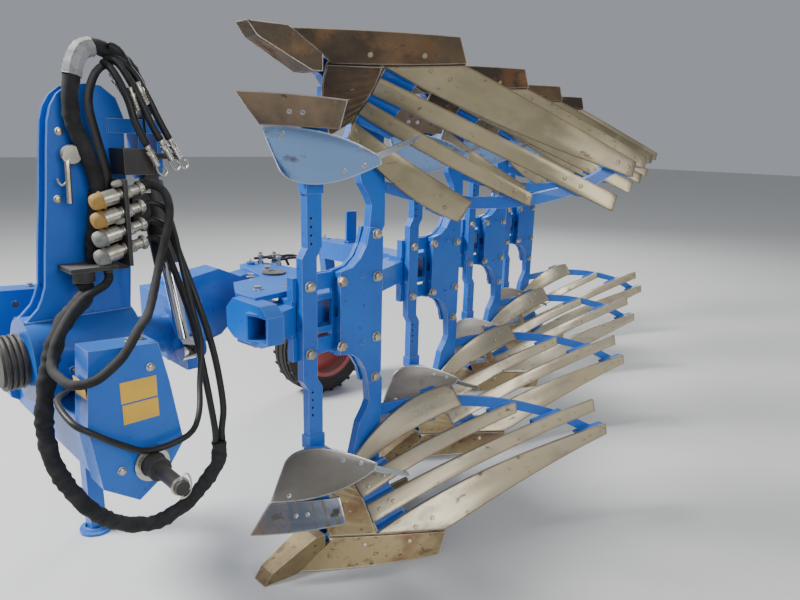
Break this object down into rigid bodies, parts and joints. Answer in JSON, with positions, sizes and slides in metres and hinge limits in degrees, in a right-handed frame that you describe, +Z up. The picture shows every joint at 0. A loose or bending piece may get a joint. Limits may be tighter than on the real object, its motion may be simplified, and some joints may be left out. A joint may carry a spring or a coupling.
{
  "type": "mounted reversible mouldboard plough",
  "caption": "Tractor-mounted turnover plough with paired slatted mouldboard bodies and skimmers on a slanting beam, a turnover headstock, depth wheel and parking stand.",
  "frame": {"origin": "on the floor under the middle of the plough's box, hoses left out", "axes": "+X is the way of travel, +Y to the left, +Z up; the turnover axis runs along X"},
  "size_m": [4.69, 2.0601, 1.886],
  "materials": {
    "blue_paint": "gloss, worn and dusty",
    "worn_steel": "bare plough steel, part polished, part rusty",
    "dark_steel": "bare steel, grey",
    "black_paint": "satin",
    "zinc": "bright plated",
    "rod_chrome": "polished",
    "red_paint": "gloss",
    "tyre_rubber": "dusty rubber",
    "hose_rubber": "matt",
    "sleeve_cloth": "woven textile sleeve"
  },
  "bodies": {
    "headstock": {"tower": "blue_paint", "turnover_housing": "blue_paint", "rotary_union": "black_paint", "cross_beam": "blue_paint", "link_brackets": "blue_paint", "link_pins": "black_paint", "top_link_pin": "zinc", "coupler_rack": "black_paint", "couplers": "zinc", "hose_arm": "black_paint", "hose_sleeve": "sleeve_cloth", "hose_bundle": "sleeve_cloth", "hose_front_loop": "hose_rubber", "hose_thin_loop": "hose_rubber", "hose_pair": "hose_rubber"},
    "cylinder_barrel": {"cylinder_barrel": "black_paint"},
    "cylinder_rod": {"cylinder_rod": "rod_chrome"},
    "stand": {"stand": "blue_paint"},
    "frame": {"turnover_shaft": "blue_paint", "swing_arm": "blue_paint", "main_beam": "blue_paint", "carrier_1": "blue_paint", "carrier_2": "blue_paint", "carrier_3": "blue_paint", "carrier_4": "blue_paint", "legs_1": "blue_paint", "legs_2": "blue_paint", "legs_3": "blue_paint", "legs_4": "blue_paint", "shares_1": "worn_steel", "shares_2": "worn_steel", "shares_3": "worn_steel", "shares_4": "worn_steel", "strips_1": "worn_steel", "strips_2": "worn_steel", "strips_3": "worn_steel", "strips_4": "worn_steel", "stalk_1": "blue_paint", "stalk_2": "blue_paint", "stalk_3": "blue_paint", "stalk_4": "blue_paint", "skimmers_1": "dark_steel", "skimmers_2": "dark_steel", "skimmers_3": "dark_steel", "skimmers_4": "dark_steel", "wheel_bracket": "blue_paint"},
    "wheel_arm": {"wheel_arm": "blue_paint"},
    "wheel": {"wheel_rim": "red_paint", "wheel_tyre": "tyre_rubber"}
  },
  "joints": [
    {"name": "turnover", "type": "hinge", "parent": "headstock", "child": "frame", "pos_m": [1.795, 0.23784, 0.943], "axis": [1, 0, 0], "range_deg": [0, 180]},
    {"name": "cylinder_swing", "type": "hinge", "parent": "headstock", "child": "cylinder_barrel", "pos_m": [1.895, 0.23784, 1.47], "axis": [1, 0, 0], "range_deg": [-19.83, 0]},
    {"name": "rod_slide", "type": "slide", "parent": "cylinder_barrel", "child": "cylinder_rod", "axis": [0, -0.3392, 0.9407], "range_m": [0, 0.2232]},
    {"name": "stand_fold", "type": "hinge", "parent": "headstock", "child": "stand", "pos_m": [1.959, -0.32016, 0.77], "axis": [-1, 0, 0], "range_deg": [0, 90]},
    {"name": "wheel_arm_swing", "type": "hinge", "parent": "frame", "child": "wheel_arm", "pos_m": [0.425, -0.77216, 0.943], "axis": [0, 1, 0], "range_deg": [0, 164.88]},
    {"name": "wheel_spin", "type": "hinge", "parent": "wheel_arm", "child": "wheel", "pos_m": [0.341, -0.92317, 0.31], "axis": [0, 1, 0], "continuous": true}
  ],
  "couplings": [
    {"joint": "cylinder_swing", "follows": "rod_slide", "rad_per_m": -1.5503}
  ]
}
